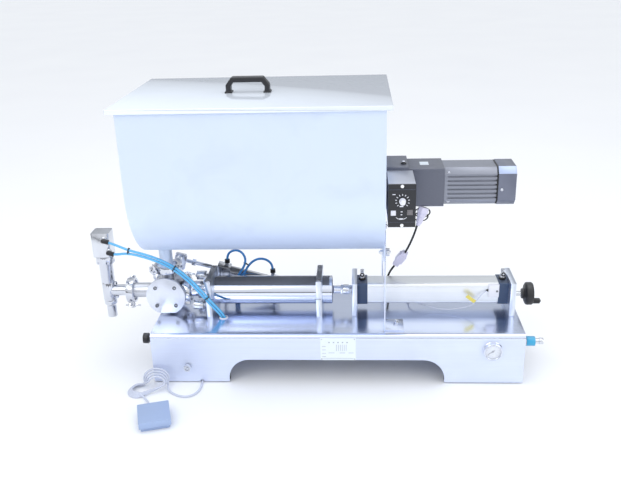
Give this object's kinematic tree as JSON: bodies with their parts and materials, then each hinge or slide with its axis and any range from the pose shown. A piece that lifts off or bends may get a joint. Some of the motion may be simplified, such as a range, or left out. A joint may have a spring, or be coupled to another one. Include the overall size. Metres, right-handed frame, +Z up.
{
  "type": "piston liquid filler",
  "caption": "Bench piston filler: stainless base with a metering cylinder, rotary valve and nozzle, stirred hopper with lid, gear motor and foot pedal.",
  "frame": {"origin": "on the floor, at the middle of the machine's box without its loose cables", "axes": "+X along the machine to the handwheel, +Y to the back, +Z up"},
  "size_m": [1.0924, 0.5452, 0.704],
  "materials": {
    "stainless_sheet": "satin stainless sheet",
    "mirror_stainless": "mirror-polished stainless",
    "turned_stainless": "turned stainless",
    "plate_aluminium": "machined plate",
    "cap_blue": "slate blue anodised",
    "barrel_silver": "drawn and clear anodised",
    "grey_paint": "hammered grey paint",
    "light_paint": "light grey paint",
    "black_plastic": "moulded, fine texture",
    "white_plastic": "moulded",
    "black_rubber": "moulded",
    "white_rubber": "moulded",
    "tube_light_blue": "polyurethane tube",
    "tube_dark_blue": "polyurethane tube",
    "cable_black": "cable sheath",
    "cable_grey": "cable sheath",
    "cyan_plastic": "moulded",
    "gauge_white": "white case",
    "brass_gear": "cut gear",
    "steel_dark": "oiled steel",
    "pedal_blue": "light steel-blue paint"
  },
  "bodies": {
    "frame": {"base_housing": "stainless_sheet", "rubber_feet": "black_rubber", "grommets": "white_rubber", "control_gear": "light_paint", "cylinder_brackets": "plate_aluminium", "screws": "turned_stainless", "material_tube": "mirror_stainless", "valve_body": "turned_stainless", "valve_covers": "turned_stainless", "tri_clamps": "turned_stainless", "nozzle_tee": "turned_stainless", "nozzle_tube": "turned_stainless", "nozzle_tip": "turned_stainless", "nozzle_cylinder": "barrel_silver", "air_fittings": "black_plastic", "drive_cylinder": "barrel_silver", "hopper": "stainless_sheet", "shaft_bearings": "white_plastic", "gearbox_housing": "grey_paint", "motor_housing": "grey_paint", "motor_cover": "grey_paint", "controller_box": "light_paint", "controller_panel": "black_plastic", "support_legs": "stainless_sheet", "end_plates": "plate_aluminium", "cylinder_caps": "cap_blue", "cylinder_barrel": "barrel_silver", "gauge_case": "gauge_white", "air_inlet": "turned_stainless", "pedal_base": "pedal_blue", "nozzle_air_tubes": "tube_light_blue", "drive_air_tubes": "tube_dark_blue", "motor_cable": "cable_black", "cable_connector": "white_plastic", "sensor_wire": "cable_grey", "pedal_cable": "cable_grey", "pedal_hank": "cable_grey"},
    "piston": {"material_piston": "white_plastic", "piston_rod": "turned_stainless", "rod_coupling": "turned_stainless", "air_piston": "turned_stainless"},
    "valve_rotor": {"valve_plug": "turned_stainless", "valve_lever": "turned_stainless"},
    "drive_rod": {"drive_rod": "turned_stainless"},
    "needle": {"nozzle_needle": "turned_stainless"},
    "mixer": {"mixer_shaft": "turned_stainless", "output_gear": "brass_gear"},
    "rotor": {"motor_rotor": "steel_dark"},
    "lid": {"lid": "mirror_stainless", "lid_handle": "black_plastic"},
    "speed_knob": {"speed_knob": "white_plastic"},
    "run_switch": {"run_switch": "black_plastic"},
    "stop_screw": {"stop_screw": "turned_stainless"},
    "handwheel": {"handwheel": "black_plastic"},
    "handwheel_grip": {"handwheel_grip": "black_plastic"},
    "gauge_needle": {"gauge_needle": "black_plastic"},
    "throttle_knob": {"throttle_knob": "turned_stainless"},
    "selector_knob": {"selector_knob": "black_plastic"},
    "inlet_sleeve": {"inlet_sleeve": "cyan_plastic"},
    "pedal_treadle": {"pedal_treadle": "pedal_blue"}
  },
  "joints": [
    {"name": "piston_slide", "type": "slide", "parent": "frame", "child": "piston", "axis": [-1, 0, 0], "range_m": [0, 0.25]},
    {"name": "valve_turn", "type": "hinge", "parent": "frame", "child": "valve_rotor", "pos_m": [-0.37075, 0.0842, 0.177], "axis": [0, 1, 0], "range_deg": [-45, 45]},
    {"name": "drive_rod_slide", "type": "slide", "parent": "frame", "child": "drive_rod", "axis": [0.9641, 0, -0.2656], "range_m": [-0.0425, 0.0425]},
    {"name": "needle_lift", "type": "slide", "parent": "frame", "child": "needle", "axis": [0, 0, 1], "range_m": [0, 0.02]},
    {"name": "stop_slide", "type": "slide", "parent": "frame", "child": "stop_screw", "axis": [1, 0, 0], "range_m": [0, 0.04]},
    {"name": "wheel_turn", "type": "hinge", "parent": "stop_screw", "child": "handwheel", "pos_m": [0.50025, 0.0842, 0.165], "axis": [1, 0, 0], "range_deg": [0, 3600]},
    {"name": "grip_spin", "type": "hinge", "parent": "handwheel", "child": "handwheel_grip", "pos_m": [0.52625, 0.0767, 0.1486], "axis": [1, 0, 0], "continuous": true},
    {"name": "mixer_spin", "type": "hinge", "parent": "frame", "child": "mixer", "pos_m": [0.04825, 0.0786, 0.4708], "axis": [1, 0, 0], "continuous": true},
    {"name": "rotor_spin", "type": "hinge", "parent": "frame", "child": "rotor", "pos_m": [0.34825, 0.0786, 0.4528], "axis": [1, 0, 0], "continuous": true},
    {"name": "lid_lift", "type": "slide", "parent": "frame", "child": "lid", "axis": [0, 0, 1], "range_m": [0, 0.15]},
    {"name": "speed_knob_turn", "type": "hinge", "parent": "frame", "child": "speed_knob", "pos_m": [0.19725, -0.0813, 0.4595], "axis": [0, 1, 0], "range_deg": [-135, 135]},
    {"name": "run_switch_tilt", "type": "hinge", "parent": "frame", "child": "run_switch", "pos_m": [0.21325, -0.0778, 0.4345], "axis": [1, 0, 0], "range_deg": [-10, 10]},
    {"name": "gauge_needle_turn", "type": "hinge", "parent": "frame", "child": "gauge_needle", "pos_m": [0.41175, -0.0638, 0.0889], "axis": [0, 1, 0], "range_deg": [0, 270], "stiffness_Nm_per_rad": 0.001},
    {"name": "throttle_turn", "type": "hinge", "parent": "frame", "child": "throttle_knob", "pos_m": [-0.30495, -0.0638, 0.0448], "axis": [0, 1, 0], "range_deg": [-180, 180]},
    {"name": "selector_turn", "type": "hinge", "parent": "frame", "child": "selector_knob", "pos_m": [-0.38925, -0.0398, 0.1073], "axis": [1, 0, 0], "range_deg": [0, 90]},
    {"name": "inlet_sleeve_slide", "type": "slide", "parent": "frame", "child": "inlet_sleeve", "axis": [1, 0, 0], "range_m": [0, 0.006], "stiffness_N_per_m": 400, "springref_m": -0.004},
    {"name": "pedal_press", "type": "hinge", "parent": "frame", "child": "pedal_treadle", "pos_m": [-0.35911, -0.1952, 0.016], "axis": [0.9563, 0.2924, 0], "range_deg": [0, 6], "stiffness_Nm_per_rad": 4, "springref_deg": -3.44}
  ],
  "couplings": [
    {"joint": "drive_rod_slide", "follows": "valve_turn", "m_per_rad": 0.054},
    {"joint": "wheel_turn", "follows": "stop_slide", "rad_per_m": 1570.8},
    {"joint": "rotor_spin", "follows": "mixer_spin", "ratio": -2}
  ]
}
